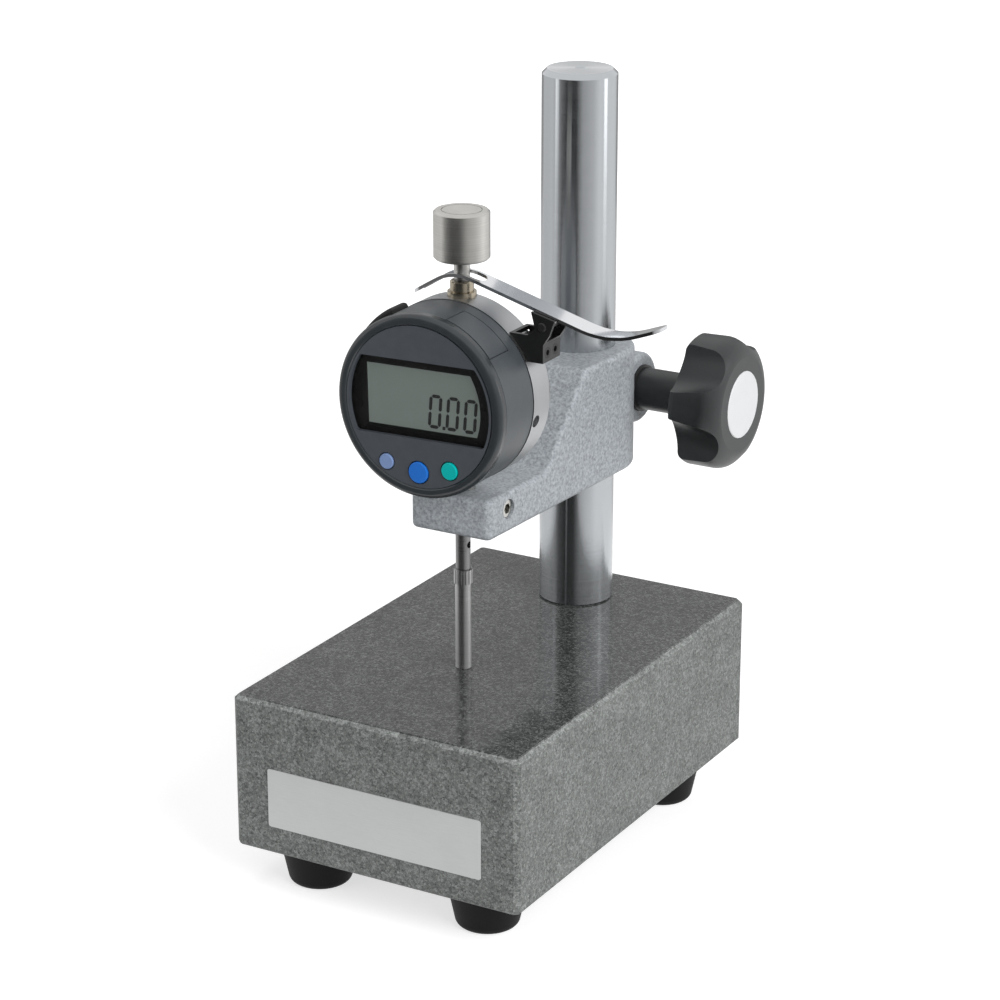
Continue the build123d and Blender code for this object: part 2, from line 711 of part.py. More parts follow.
with BuildPart() as back_plate_screws:
    with BuildSketch(facing(case_back, 0, dial_z)) as plate_heads:
        with PolarLocations(plate_screw_circle, 4, start_angle=45):
            Circle(plate_screw_head_radius)
    extrude(amount=plate_screw_head_height)
    with BuildSketch(facing(case_back, 0, dial_z)) as plate_shanks:
        with PolarLocations(plate_screw_circle, 4, start_angle=45):
            Circle(plate_screw_radius)
    extrude(amount=plate_screw_length)
    with BuildSketch(facing(case_back, 0, dial_z)) as plate_slots:
        with PolarLocations(plate_screw_circle, 4, start_angle=45):
            Rectangle(plate_screw_head_radius * 2, plate_screw_head_radius * 0.3)
    extrude(amount=plate_screw_head_height / 2, mode=Mode.SUBTRACT)
finish(back_plate_screws.part, "back_plate_screws")

with BuildPart() as retaining_ring:
    with BuildSketch(facing(housing_back - housing_rear_wall - face_gap, 0, dial_z)) as ring_round:
        Circle(swivel_radius + ring_reach)
        Circle(swivel_radius - ring_depth + screw_fit, mode=Mode.SUBTRACT)
        with Locations((0, -swivel_radius)):
            Rectangle(ring_reach * 3, swivel_radius, align=(Align.CENTER, Align.CENTER), mode=Mode.SUBTRACT)
    extrude(amount=ring_thickness)
finish(retaining_ring.part, "retaining_ring")

# Reading head and guide bar on the case's front wall
cavity_floor = dial_z - cavity_radius
scale_bottom = cavity_floor + scale_start
scale_front = -spindle_flat - scale_thickness
with BuildPart() as reading_head:
    head_bottom = scale_bottom + spindle_travel + scale_margin
    with BuildSketch(facing(cavity_front, 0, head_bottom)) as head_outline:
        Rectangle(2 * head_half_width, head_length, align=(Align.CENTER, Align.MIN))
    extrude(amount=-(scale_front - head_gap - cavity_front))
finish(reading_head.part, "reading_head")

guide_pin_z = cavity_floor + guide_pin_lift
guide_bar_length = spindle_travel + 2 * guide_bar_end + 2 * guide_pin_radius
with BuildPart() as guide_bar:
    with BuildSketch(sideways(guide_bar_inner)) as guide_outline:
        guide_bar_bottom = guide_pin_z - guide_pin_radius - guide_bar_end
        with Locations(((guide_bar_rear + cavity_front) / 2, guide_bar_bottom + guide_bar_length / 2)):
            Rectangle(guide_bar_rear - cavity_front, guide_bar_length)
        with Locations((0, guide_pin_z + spindle_travel / 2)):
            SlotOverall(
                spindle_travel + 2 * (guide_pin_radius + guide_bar_fit),
                2 * (guide_pin_radius + guide_bar_fit),
                rotation=90,
                mode=Mode.SUBTRACT,
            )
    extrude(amount=guide_bar_outer - guide_bar_inner)
finish(guide_bar.part, "guide_bar")

# Display housing: a drum that turns on the case's spigot
battery_cover_back = housing_back - battery_cover_ahead
socket_cover_back = housing_back - socket_cover_ahead


def sector(inner, outer, start_angle, end_angle):
    # a piece of a ring round the dial's axis, drawn on a plane that looks at the reader
    with BuildLine() as sector_line:
        outer_arc = CenterArc((0, 0), outer, start_angle, end_angle - start_angle)
        inner_arc = CenterArc((0, 0), inner, start_angle, end_angle - start_angle)
        Line(outer_arc @ 0, inner_arc @ 0)
        Line(outer_arc @ 1, inner_arc @ 1)
    make_face(sector_line.edges())


with BuildPart() as front_housing:
    with BuildSketch(dial_facing(housing_back)) as housing_round:
        Circle(housing_radius)
    extrude(amount=housing_depth)
    with BuildSketch(dial_facing(housing_front)) as housing_cavity:
        Circle(housing_radius - housing_wall)
    extrude(amount=-board_seat, mode=Mode.SUBTRACT)
    with BuildSketch(dial_facing(housing_front)) as housing_rear_cavity:
        Circle(housing_radius - housing_wall - board_ledge)
    extrude(amount=-(housing_depth - housing_rear_wall), mode=Mode.SUBTRACT)
    with BuildSketch(dial_facing(housing_back)) as housing_bore:
        Circle(swivel_radius + swivel_fit)
    extrude(amount=housing_rear_wall, mode=Mode.SUBTRACT)
    with BuildSketch(dial_facing(battery_cover_back)) as battery_pocket:
        sector(housing_radius - cover_depth, housing_radius + 1, battery_cover_start, battery_cover_end)
    extrude(amount=housing_depth - battery_cover_ahead, mode=Mode.SUBTRACT)
    with BuildSketch(dial_facing(socket_cover_back)) as socket_pocket:
        sector(housing_radius - cover_depth, housing_radius + 1, socket_cover_start, socket_cover_end)
    extrude(amount=socket_cover_length, mode=Mode.SUBTRACT)
finish(front_housing.part, "front_housing")

with BuildPart() as battery_cover:
    edge_angle = degrees(cover_gap / housing_radius)
    with BuildSketch(dial_facing(battery_cover_back - cover_gap)) as battery_cover_arc:
        sector(
            housing_radius - cover_depth + cover_gap / 2,
            housing_radius,
            battery_cover_start + edge_angle,
            battery_cover_end - edge_angle,
        )
    extrude(amount=housing_depth - battery_cover_ahead - 2 * cover_gap)
finish(battery_cover.part, "battery_cover")

with BuildPart() as socket_cover:
    with BuildSketch(dial_facing(socket_cover_back - cover_gap)) as socket_cover_arc:
        sector(
            housing_radius - cover_depth + cover_gap / 2,
            housing_radius + socket_cover_proud,
            socket_cover_start + edge_angle,
            socket_cover_end - edge_angle,
        )
    extrude(amount=socket_cover_length - 2 * cover_gap)
    raised_faces = faces().filter_by(GeomType.CYLINDER).sort_by(SortBy.AREA)
    fillet(raised_faces[-1].edges(), socket_cover_proud * 0.6)
finish(socket_cover.part, "socket_cover")

# Bezel ring, with a spigot that fits in the housing and a lip behind the face plate
with BuildPart() as bezel_ring:
    with BuildSketch(dial_facing(bezel_back)) as bezel_round:
        Circle(case_radius)
    extrude(amount=bezel_back - bezel_front)
    fillet(edges().group_by(Axis.Y)[0], bezel_front_radius)
    with BuildSketch(dial_facing(bezel_back)) as bezel_spigot:
        Circle(housing_radius - housing_wall - screw_fit)
    extrude(amount=-(bezel_spigot_length + bezel_gap))
    with BuildSketch(dial_facing(face_back)) as bezel_opening:
        Circle(bezel_opening_radius + face_fit)
    extrude(amount=face_back - bezel_front, mode=Mode.SUBTRACT)
    chamfer(edges().group_by(Axis.Y)[0].sort_by(SortBy.RADIUS)[0], bezel_inner_chamfer)
    with BuildSketch(dial_facing(face_back)) as bezel_lip_opening:
        Circle(lip_radius)
    extrude(amount=-(bezel_spigot_length + bezel_depth), mode=Mode.SUBTRACT)
finish(bezel_ring.part, "bezel_ring")


def window_outline(side_radius, above, below, corner_radius):
    # the display opening: level edges above and below, and sides that follow the dial
    Circle(side_radius)
    with Locations((0, (above - below) / 2)):
        Rectangle(2 * side_radius, above + below, mode=Mode.INTERSECT)
    fillet(vertices(), corner_radius)


with BuildPart() as face_plate:
    with BuildSketch(dial_facing(face_back)) as face_round:
        Circle(bezel_opening_radius)
    extrude(amount=face_thickness)
    with BuildSketch(dial_facing(face_back)) as face_window:
        window_outline(window_side_radius, window_above, window_below, window_corner_radius)
    extrude(amount=face_thickness, mode=Mode.SUBTRACT)
    with BuildSketch(dial_facing(face_back)) as face_holes:
        for across, up, radius in button_places.values():
            with Locations((across, up)):
                Circle(radius + button_gap)
    extrude(amount=face_thickness, mode=Mode.SUBTRACT)
finish(face_plate.part, "face_plate")

with BuildPart() as window:
    with BuildSketch(dial_facing(glass_back)) as window_sheet:
        window_outline(
            lip_radius - face_fit,
            window_above + window_lap,
            window_below + window_lap,
            window_corner_radius,
        )
    extrude(amount=window_glass)
finish(window.part, "window_glass")

# Display panel in its dark carrier, which stands on the circuit board
panel_front = glass_back + panel_recess
panel_back = panel_front + panel_thickness
carrier_back = board_front


def panel_outline(margin):
    # straight above, below and on the left, round on the right
    with Locations((-panel_round_left, 0)):
        Circle(panel_round_radius + margin)
    with Locations((-panel_left - margin, (panel_above - panel_below) / 2)):
        Rectangle(
            2 * (panel_round_radius + margin),
            panel_above + panel_below + 2 * margin,
            align=(Align.MIN, Align.CENTER),
            mode=Mode.INTERSECT,
        )


with BuildPart() as display_panel:
    with BuildSketch(dial_facing(panel_front)) as panel_sheet:
        panel_outline(0)
    extrude(amount=-panel_thickness)
finish(display_panel.part, "display_panel")

with BuildPart() as display_carrier:
    with BuildSketch(dial_facing(glass_back)) as carrier_outline:
        window_outline(
            lip_radius - face_fit,
            window_above + window_lap,
            window_below + window_lap,
            window_corner_radius,
        )
    extrude(amount=-(carrier_back - glass_back))
    with BuildSketch(dial_facing(glass_back)) as panel_pocket:
        panel_outline(face_fit)
    extrude(amount=-(panel_back - glass_back), mode=Mode.SUBTRACT)
    with BuildSketch(dial_facing(glass_back)) as carrier_hollow:
        panel_outline(-carrier_wall)
    extrude(amount=-(carrier_back - glass_back), mode=Mode.SUBTRACT)
finish(display_carrier.part, "display_carrier")

with BuildPart() as circuit_board:
    with BuildSketch(dial_facing(board_back)) as board_round:
        Circle(housing_radius - housing_wall - screw_fit)
    extrude(amount=board_thickness)
finish(circuit_board.part, "circuit_board")

with BuildPart() as battery:
    with BuildSketch(dial_facing(board_back, battery_right, battery_up)) as battery_round:
        Circle(battery_radius)
    extrude(amount=-battery_thickness)
    fillet(edges(), battery_thickness / 8)
finish(battery.part, "battery")

# Key mat: one rubber sheet under the three buttons
key_mat_front = face_back + button_flange_thickness + button_travel + button_stop_gap
with BuildPart() as key_mat:
    with BuildSketch(dial_facing(board_front)) as key_mat_outline:
        Circle(lip_radius - key_mat_gap)
        with Locations((0, -key_mat_top)):
            Rectangle(2 * lip_radius, lip_radius, align=(Align.CENTER, Align.MAX), mode=Mode.INTERSECT)
    extrude(amount=board_front - key_mat_front)
finish(key_mat.part, "key_mat")

# Buttons: a domed cap through the face plate and a flange behind it
for button_name, (across, up, radius) in button_places.items():
    with BuildPart() as button:
        with BuildSketch(dial_facing(face_back, across, up)) as button_cap:
            Circle(radius)
        extrude(amount=face_back - face_front + button_proud)
        fillet(edges().group_by(Axis.Y)[0], button_dome)
        with BuildSketch(dial_facing(face_back)) as button_collar:
            with Locations((across, up)):
                Circle(radius + button_flange)
            Circle(lip_radius - button_gap / 2, mode=Mode.INTERSECT)
        extrude(amount=-button_flange_thickness)
    finish(button.part, button_name)

# Spindle, with a flat for the scale, a cross hole and a thread for the contact foot
spindle_bottom = contact_length
with BuildPart() as spindle:
    with BuildSketch(Plane.XY.offset(spindle_bottom)) as spindle_round:
        Circle(spindle_radius)
    extrude(amount=neck_bottom - spindle_bottom)
    chamfer(edges().group_by(Axis.Z)[0], contact_chamfer)
    with BuildSketch(facing(-spindle_flat, 0, scale_bottom)) as flat_outline:
        Rectangle(2 * spindle_radius, scale_length, align=(Align.CENTER, Align.MIN))
    extrude(amount=spindle_radius, mode=Mode.SUBTRACT)
    with BuildSketch(Plane.XY.offset(spindle_bottom)) as contact_thread:
        Circle(contact_thread_radius + screw_fit)
    extrude(amount=contact_thread_length + contact_thread_radius, mode=Mode.SUBTRACT)
    with BuildSketch(Plane.XY.offset(neck_bottom)) as stud_thread:
        Circle(weight_stud_radius + screw_fit)
    extrude(amount=-weight_stud_half, mode=Mode.SUBTRACT)
    with BuildSketch(sideways(-spindle_radius, 0, spindle_bottom + cross_hole_height)) as cross_hole:
        Circle(cross_hole_radius)
    extrude(amount=2 * spindle_radius, mode=Mode.SUBTRACT)
    with BuildSketch(sideways(-spindle_radius / 2, 0, guide_pin_z)) as guide_pin_hole:
        Circle(guide_pin_radius + spindle_fit)
    extrude(amount=2 * spindle_radius, mode=Mode.SUBTRACT)
finish(spindle.part, "spindle")

with BuildPart() as guide_pin:
    with BuildSketch(sideways(-spindle_radius / 2, 0, guide_pin_z)) as guide_pin_round:
        Circle(guide_pin_radius)
    extrude(amount=spindle_radius / 2 + guide_pin_reach)
finish(guide_pin.part, "guide_pin")

with BuildPart() as linear_scale:
    with BuildSketch(facing(-spindle_flat, 0, scale_bottom)) as scale_outline:
        Rectangle(2 * scale_half_width, scale_length, align=(Align.CENTER, Align.MIN))
    extrude(amount=scale_thickness)
finish(linear_scale.part, "linear_scale")

# Contact foot, with a knurled collar and a stud that screws into the spindle
with BuildPart() as contact_foot:
    with BuildSketch() as contact_round:
        Circle(contact_radius)
    extrude(amount=contact_length - collar_length)
    chamfer(edges().group_by(Axis.Z)[0], contact_chamfer)
    with BuildSketch(Plane.XY.offset(contact_length - collar_length)) as collar_round:
        Circle(collar_radius)
        with PolarLocations(collar_radius, collar_knurls):
            Rectangle(contact_chamfer, contact_chamfer, rotation=45, mode=Mode.SUBTRACT)
    extrude(amount=collar_length)
    with BuildSketch(Plane.XY.offset(contact_length)) as contact_stud:
        Circle(contact_thread_radius)
    extrude(amount=contact_thread_length)
finish(contact_foot.part, "contact_foot")

# Weight, turned in one piece with its neck, on a stud in the spindle's end
with BuildPart() as weight:
    with BuildSketch(Plane.XY.offset(neck_bottom)) as neck_round:
        Circle(neck_radius)
    extrude(amount=neck_length)
    with BuildSketch(Plane.XY.offset(weight_bottom)) as weight_round:
        Circle(weight_radius)
    extrude(amount=weight_height)
    chamfer(edges().filter_by(GeomType.CIRCLE).group_by(SortBy.RADIUS)[-1], weight_chamfer)
    with BuildSketch(Plane.XY.offset(weight_bottom + weight_height)) as turned_ring:
        Circle(weight_groove_radius)
        Circle(weight_groove_radius - weight_groove_depth, mode=Mode.SUBTRACT)
    extrude(amount=-weight_groove_depth, mode=Mode.SUBTRACT)
    with BuildSketch(Plane.XY.offset(neck_bottom)) as weight_thread:
        Circle(weight_stud_radius + screw_fit)
    extrude(amount=weight_stud_half, mode=Mode.SUBTRACT)
finish(weight.part, "weight")

with BuildPart() as weight_stud:
    with BuildSketch(Plane.XY.offset(neck_bottom - weight_stud_half)) as stud_round:
        Circle(weight_stud_radius)
    extrude(amount=2 * weight_stud_half)
finish(weight_stud.part, "weight_stud")

# Lever bracket: a block on the case's rim with two cheeks for the pivot pin
with BuildPart() as lever_bracket:
    with BuildSketch(facing(bracket_half_width, 0, dial_z)) as bracket_outline:
        with BuildLine() as bracket_line:
            Polyline(
                (pivot_right - cheek_left, pivot_up + cheek_above),
                (pivot_right + cheek_right, pivot_up + cheek_above - cheek_fall),
                (pivot_right + cheek_waist, pivot_up - cheek_waist),
                (bracket_right, bracket_top - bracket_notch),
                (bracket_right, bracket_foot),
                (case_radius - cheek_above, bracket_foot),
                (case_radius / 2, bracket_top),
                (pivot_right - cheek_left - bracket_notch / 2, bracket_top),
                (pivot_right - cheek_waist, bracket_top + bracket_notch),
                close=True,
            )
        make_face()
        Circle(case_radius + bracket_fit, mode=Mode.SUBTRACT)
    extrude(amount=2 * bracket_half_width)
    with BuildSketch(facing(lever_width / 2 + cheek_gap, pivot_right, pivot_z - bracket_floor)) as cheek_slot:
        Rectangle(8 * lever_ear_radius, 8 * lever_ear_radius, align=(Align.CENTER, Align.MIN))
    extrude(amount=lever_width + 2 * cheek_gap, mode=Mode.SUBTRACT)
    with BuildSketch(facing(bracket_half_width, pivot_right, pivot_z)) as pivot_holes:
        Circle(pivot_pin_radius + screw_fit)
    extrude(amount=2 * bracket_half_width, mode=Mode.SUBTRACT)
    with BuildSketch(sideways(0, 0, dial_z + bracket_screw_up)) as bracket_screw_holes:
        with Locations((-bracket_screw_spread / 2, 0), (bracket_screw_spread / 2, 0)):
            Circle(bracket_screw_radius + screw_fit)
    extrude(amount=2 * case_radius, mode=Mode.SUBTRACT)
    with BuildSketch(sideways(bracket_right - bracket_screw_head_height, 0, dial_z + bracket_screw_up)) as heads:
        with Locations((-bracket_screw_spread / 2, 0), (bracket_screw_spread / 2, 0)):
            Circle(bracket_screw_head_radius + screw_fit)
    extrude(amount=case_radius, mode=Mode.SUBTRACT)
finish(lever_bracket.part, "lever_bracket")

with BuildPart() as bracket_screws:
    head_seat = bracket_right - bracket_screw_head_height
    with BuildSketch(sideways(head_seat, 0, dial_z + bracket_screw_up)) as bracket_screw_heads:
        with Locations((-bracket_screw_spread / 2, 0), (bracket_screw_spread / 2, 0)):
            Circle(bracket_screw_head_radius)
    extrude(amount=bracket_screw_head_height)
    with BuildSketch(sideways(head_seat, 0, dial_z + bracket_screw_up)) as bracket_screw_shanks:
        with Locations((-bracket_screw_spread / 2, 0), (bracket_screw_spread / 2, 0)):
            Circle(bracket_screw_radius)
    extrude(amount=bracket_screw_reach - head_seat)
    with BuildSketch(sideways(bracket_right, 0, dial_z + bracket_screw_up)) as bracket_screw_sockets:
        with Locations((-bracket_screw_spread / 2, 0), (bracket_screw_spread / 2, 0)):
            RegularPolygon(bracket_screw_head_radius * socket_ratio, 6, major_radius=False)
    extrude(amount=-bracket_screw_head_height * 0.7, mode=Mode.SUBTRACT)
finish(bracket_screws.part, "bracket_screws")

with BuildPart() as pivot_pin:
    with BuildSketch(facing(pin_half_length, pivot_right, pivot_z)) as pin_round:
        Circle(pivot_pin_radius)
    extrude(amount=2 * pin_half_length)
    chamfer(edges().filter_by(GeomType.CIRCLE), pivot_pin_radius / 5)
finish(pivot_pin.part, "pivot_pin")

# Lifting lever: one bent strip, forked round the weight's neck, with two ears turned down to the pivot pin
bend_z = bush_top + lever_lift
strip_slope = -lever_valley_drop / (lever_valley_right + lever_bend_left)
strip_over_pivot = bend_z + strip_slope * (pivot_right + lever_bend_left)
with BuildPart() as lifting_lever:
    with BuildSketch(facing(lever_width / 2)) as lever_side:
        with BuildLine() as lever_line:
            FilletPolyline(
                (-lever_tip_left, bend_z - lever_tip_drop),
                (-lever_bend_left, bend_z),
                (lever_valley_right, bend_z - lever_valley_drop),
                (lever_tab_right, bend_z - lever_tab_drop),
                radius=(lever_bend_radius, lever_valley_radius),
            )
        trace(line_width=lever_thickness)
    extrude(amount=lever_width)
    with BuildSketch(Plane.XY.offset(dial_z)) as lever_plan:
        with Locations(((lever_tab_right - lever_tip_left) / 2, 0)):
            RectangleRounded(lever_tab_right + lever_tip_left, lever_width, lever_end_radius)
        with Locations((fork_slot_end - lever_tip_left, 0)):
            SlotOverall(2 * lever_tip_left, fork_slot, mode=Mode.SUBTRACT)
        with Locations((-lever_tip_left, 0)):
            Rectangle(2 * lever_tip_left, fork_slot, mode=Mode.SUBTRACT)
    extrude(amount=case_radius * 2, mode=Mode.INTERSECT)
    with BuildSketch(facing(lever_width / 2)) as ear_outline:
        with BuildLine() as ear_line:
            Polyline(
                (pivot_right - lever_ear_radius, pivot_z),
                (pivot_right - cheek_left, strip_over_pivot - strip_slope * cheek_left),
                (pivot_right + cheek_right, strip_over_pivot + strip_slope * cheek_right),
                (pivot_right + lever_ear_radius, pivot_z),
                close=True,
            )
        make_face()
        with Locations((pivot_right, pivot_z)):
            Circle(lever_ear_radius)
            Circle(pivot_pin_radius + pivot_fit, mode=Mode.SUBTRACT)
    extrude(amount=lever_thickness)
    mirror(about=Plane.XZ)
finish(lifting_lever.part, "lifting_lever")
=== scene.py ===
import math

import bmesh
import bpy
from mathutils import Matrix, Vector


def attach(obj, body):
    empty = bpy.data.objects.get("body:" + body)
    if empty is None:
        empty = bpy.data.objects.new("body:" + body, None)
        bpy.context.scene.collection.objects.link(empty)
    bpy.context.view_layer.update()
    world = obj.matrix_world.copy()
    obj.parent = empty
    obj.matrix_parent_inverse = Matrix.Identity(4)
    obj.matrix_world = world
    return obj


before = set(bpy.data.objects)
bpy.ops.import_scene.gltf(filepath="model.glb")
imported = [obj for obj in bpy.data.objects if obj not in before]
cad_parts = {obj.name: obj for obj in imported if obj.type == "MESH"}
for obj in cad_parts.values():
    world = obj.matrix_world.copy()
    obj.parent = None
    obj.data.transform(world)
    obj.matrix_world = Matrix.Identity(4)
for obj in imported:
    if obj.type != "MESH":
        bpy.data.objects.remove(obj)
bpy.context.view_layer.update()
mm = 0.001
print("frame loaded")

# Places that several pieces and finishes need, in millimetres
dial = {"centreZ": 91.4}
column = {"centreY": 72.5}

# Inputs of the one shader that every surface of the object has
shaderInputs = {"color": "Base Color", "roughness": "Roughness", "metallic": "Metallic",
                "coat": "Coat Weight", "alpha": "Alpha", "specular": "Specular IOR Level",
                "normal": "Normal", "brushed": "Anisotropic", "brushTurn": "Anisotropic Rotation"}
seenBy = ("Is Camera Ray", "Is Glossy Ray", "Is Transmission Ray")  # the rays that find white surroundings


class Wire:  # an output of a node; arithmetic on it adds Math nodes
    def __init__(self, finish, socket):
        self.finish = finish
        self.socket = socket

    def maths(self, operation, *values):
        return self.finish.add("Math", {"operation": operation}, dict(enumerate(values)))

    def __add__(self, other):
        return self.maths("ADD", self, other)

    def __sub__(self, other):
        return self.maths("SUBTRACT", self, other)

    def __rsub__(self, other):
        return self.maths("SUBTRACT", other, self)

    def __mul__(self, other):
        return self.maths("MULTIPLY", self, other)

    def __pow__(self, other):
        return self.maths("POWER", self, other)

    def __gt__(self, other):
        return self.maths("GREATER_THAN", self, other)

    def __lt__(self, other):
        return self.maths("LESS_THAN", self, other)

    def __abs__(self):
        return self.maths("ABSOLUTE", self)

    __radd__ = __add__
    __rmul__ = __mul__


class Finish:  # a material or the world, built node by node
    def __init__(self, name, kind="materials"):
        self.owner = getattr(bpy.data, kind).new(name)
        self.owner.use_nodes = True
        self.tree = self.owner.node_tree
        self.tree.nodes.clear()

    def feed(self, socket, value):
        if isinstance(value, Wire):
            self.tree.links.new(value.socket, socket)
        else:
            socket.default_value = value

    def add(self, kind, settings=None, inputs=None, output=0):
        node = self.tree.nodes.new("ShaderNode" + kind)
        for key, value in (settings or {}).items():
            if key == "stops":
                while len(node.color_ramp.elements) < len(value):
                    node.color_ramp.elements.new(1.0)
                for element, (place, shade) in zip(node.color_ramp.elements, value):
                    element.position = place
                    element.color = asColor(shade)
            else:
                setattr(node, key, value)
        for key, value in (inputs or {}).items():
            self.feed(node.inputs[key], value)
        return Wire(self, node.outputs[output])

    def close(self, surface, kind="Material"):  # ends the tree with its output
        self.feed(self.tree.nodes.new("ShaderNodeOutput" + kind).inputs[0], surface)
        return self.owner

    def point(self):  # the place on the piece in millimetres, as one vector
        inputs = {0: self.add("TexCoord", output="Object"), 3: 1 / mm}
        return self.add("VectorMath", {"operation": "SCALE"}, inputs)

    def where(self):  # the same place as x, y and z
        split = self.add("SeparateXYZ", {}, {0: self.point()})
        return [Wire(self, output) for output in split.socket.node.outputs]

    def noise(self, point, detail, roughness):
        inputs = {"Vector": point, "Scale": 1.0, "Detail": detail, "Roughness": roughness}
        return self.add("TexNoise", {}, inputs)

    def grain(self, size, detail=2.0, roughness=0.5, stretch=(1, 1, 1)):  # lumps of size millimetres
        scale = [part / size for part in stretch]
        point = self.add("VectorMath", {"operation": "MULTIPLY"}, {0: self.point(), 1: scale})
        return self.noise(point, detail, roughness)

    def crystals(self, size, output="Color"):  # cells of size millimetres, each of its own random shade
        return self.add("TexVoronoi", {}, {"Vector": self.point(), "Scale": 1 / size}, output)

    def rings(self, axis, centre, size):  # fine tool marks round an axis
        x, y, z = self.where()
        along, across, up = {"Y": (y, x, z), "Z": (z, x, y)}[axis]
        right, over = across - centre[0], up - centre[1]
        radius = (right * right + over * over) ** 0.5
        marks = self.add("CombineXYZ", {}, {0: radius * (1 / size), 1: along * (1 / size)})
        return self.noise(marks, detail=3.0, roughness=0.6)

    def ramp(self, value, *stops):
        return self.add("ValToRGB", {"stops": stops}, {0: value})

    def mix(self, factor, first, second, blend="MIX"):
        inputs = {0: factor, 6: asColor(first), 7: asColor(second)}
        return self.add("Mix", {"data_type": "RGBA", "blend_type": blend}, inputs, 2)

    def bump(self, height, depth, strength=1.0):  # depth in millimetres
        return self.add("Bump", {}, {"Height": height, "Distance": depth * mm, "Strength": strength})

    def shade(self, color, **values):
        inputs = {shaderInputs[key]: value for key, value in values.items()}
        inputs[shaderInputs["color"]] = asColor(color)
        return self.close(self.add("BsdfPrincipled", {}, inputs))

    def seen(self):  # 1 for the camera and for what mirrors and glass show, 0 for the light on other things
        camera, mirror, glass = (self.add("LightPath", output=ray) for ray in seenBy)
        return camera + mirror + glass


def asColor(value):  # one number or three become a colour; a wire passes through
    if isinstance(value, Wire):
        return value
    if isinstance(value, (int, float)):
        return (value, value, value, 1.0)
    return (*value, 1.0)


# Stone: crystals of two sizes with clouds over them, polished on top, and paler along the top's edge
# where a painted highlight lights the chamfer as if from above; sizes and depths in millimetres
granite = {"grainSize": 0.8, "fineSize": 0.34, "cloudSize": 9.0, "grainShare": 0.4, "fineShare": 0.4,
           "cloudShare": 0.3, "shadeStops": (0.2, 0.42, 0.62, 0.92), "dark": 0.052, "middle": 0.142,
           "middleSpread": 0.16, "light": 0.30, "tint": (0.968, 1.02, 0.985), "topDepth": 0.3,
           "topShade": 0.43, "topGrain": 1.2, "edgeDepth": 1.45, "chamferPaintedHighlight": 1.25, "topRoughness": 0.16,
           "sideRoughness": 0.62, "fineRoughness": 0.08, "polish": 0.5, "pitDepth": 0.03, "sidePits": 0.3,
           "topPits": 0.03}


def stoneFinish(name):
    f = Finish(name)
    coarse = f.add("SeparateColor", {}, {0: f.crystals(granite["grainSize"])}, "Red")
    fine = f.add("SeparateColor", {}, {0: f.crystals(granite["fineSize"])}, "Green")
    cloud = f.grain(granite["cloudSize"], detail=3.0)
    blend = coarse * granite["grainShare"] + fine * granite["fineShare"] + cloud * granite["cloudShare"]
    height = f.where()[2]
    top = height > -granite["topDepth"]
    # painted highlight: the band down the chamfer below the top is made paler, as if lit from above
    edge = (height > -granite["edgeDepth"]) * (1 - top)
    middle, spread = granite["middle"], granite["middleSpread"]
    tones = (granite["dark"], middle * (1 - spread), middle * (1 + spread), granite["light"])
    shades = [[tone * part for part in granite["tint"]] for tone in tones]
    level = 1 - top * (1 - granite["topShade"]) + edge * (granite["chamferPaintedHighlight"] - 1)
    contrast = 1 + top * (blend - 0.5) * granite["topGrain"]
    stone = f.ramp(blend, *zip(granite["shadeStops"], shades))
    stone = f.add("VectorMath", {"operation": "SCALE"}, {0: stone, 3: level * contrast})
    smoother = granite["sideRoughness"] - granite["topRoughness"]
    rough = granite["sideRoughness"] - top * smoother + (fine - 0.5) * granite["fineRoughness"]
    pits = granite["sidePits"] - top * (granite["sidePits"] - granite["topPits"])
    return f.shade(color=stone, roughness=rough, normal=f.bump(blend, granite["pitDepth"], pits),
                   coat=top * granite["polish"])


# Cast arm: silver hammer paint, a skin of shallow lumps with fine flakes in it
hammer = {"low": (0.135, 0.145, 0.155), "high": (0.42, 0.45, 0.48), "blobSize": 0.8, "lumpSize": 1.04,
          "flakeSize": 0.28, "blobShare": 0.35, "lumpShade": 0.6, "flakeShade": 0.45, "lowTo": 0.34,
          "highFrom": 0.82, "depth": 0.12, "strength": 0.8, "roughness": 0.42, "flakeRoughness": 0.25,
          "metallic": 0.0, "specular": 0.28}


def hammerFinish(name):
    f = Finish(name)
    blobs = f.crystals(hammer["blobSize"], "Distance")
    lumps = f.grain(hammer["lumpSize"])
    flakes = f.grain(hammer["flakeSize"], roughness=0.7)
    height = lumps + blobs * hammer["blobShare"]
    tone = f.ramp(height * hammer["lumpShade"] + flakes * hammer["flakeShade"],
                  (hammer["lowTo"], 0.0), (hammer["highFrom"], 1.0))
    rough = hammer["roughness"] + (flakes - 0.5) * hammer["flakeRoughness"]
    return f.shade(color=f.mix(tone, hammer["low"], hammer["high"]), roughness=rough,
                   metallic=hammer["metallic"], specular=hammer["specular"],
                   normal=f.bump(height, hammer["depth"], hammer["strength"]))


# Metals turned or ground about an axis: fine rings and broad wear
turning = {"wearSize": 4.0, "ringShade": 0.7, "wearShade": 0.3, "darkTo": 0.25, "lightFrom": 0.75,
           "ringRoughness": 0.16, "wearRoughness": 0.06, "brushTurn": 0.25}


def turnedFinish(name, color, roughness, axis, centre, size=0.22, depth=0.004, streak=0.25, brushed=0.0):
    f = Finish(name)
    marks = f.rings(axis, centre, size)
    wear = f.grain(turning["wearSize"], detail=4.0)
    tone = f.ramp(marks * turning["ringShade"] + wear * turning["wearShade"],
                  (turning["darkTo"], 1.0 - streak), (turning["lightFrom"], 1.0))
    rough = roughness + (marks - 0.5) * turning["ringRoughness"] + (wear - 0.5) * turning["wearRoughness"]
    return f.shade(color=f.mix(1.0, color, tone, "MULTIPLY"), metallic=1.0, roughness=rough,
                   normal=f.bump(marks, depth), brushed=brushed, brushTurn=turning["brushTurn"])


